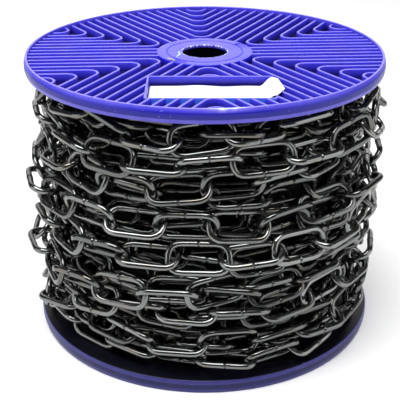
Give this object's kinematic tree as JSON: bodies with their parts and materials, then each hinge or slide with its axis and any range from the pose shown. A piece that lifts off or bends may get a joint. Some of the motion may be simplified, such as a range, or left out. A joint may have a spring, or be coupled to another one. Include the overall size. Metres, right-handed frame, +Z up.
{
  "type": "reel of welded steel chain",
  "caption": "Moulded plastic reel wound with long-link welded steel chain: ribbed flanges with a label recess, a hollow core tube and a through bore for a spindle.",
  "frame": {"origin": "on the floor under the middle of the reel: the bottom centre of the bounding box, on the reel's axis", "axes": "+Z up along the reel's axis, -Y towards the side of the upper flange that has the label, +X to the right when seen from there"},
  "size_m": [0.2326, 0.2326, 0.185],
  "materials": {
    "flange_plastic": "blue-violet moulded plastic, semi-gloss",
    "core_plastic": "dark moulded plastic, satin",
    "label_paper": "blank white label",
    "chain_steel": "black-finished steel wire, glossy, with weld marks"
  },
  "bodies": {
    "root": {"flange_upper": "flange_plastic", "flange_lower": "flange_plastic", "core_tube": "core_plastic", "label": "label_paper", "chain_inner_turns": "chain_steel", "chain_outer_turns": "chain_steel"}
  },
  "joints": []
}
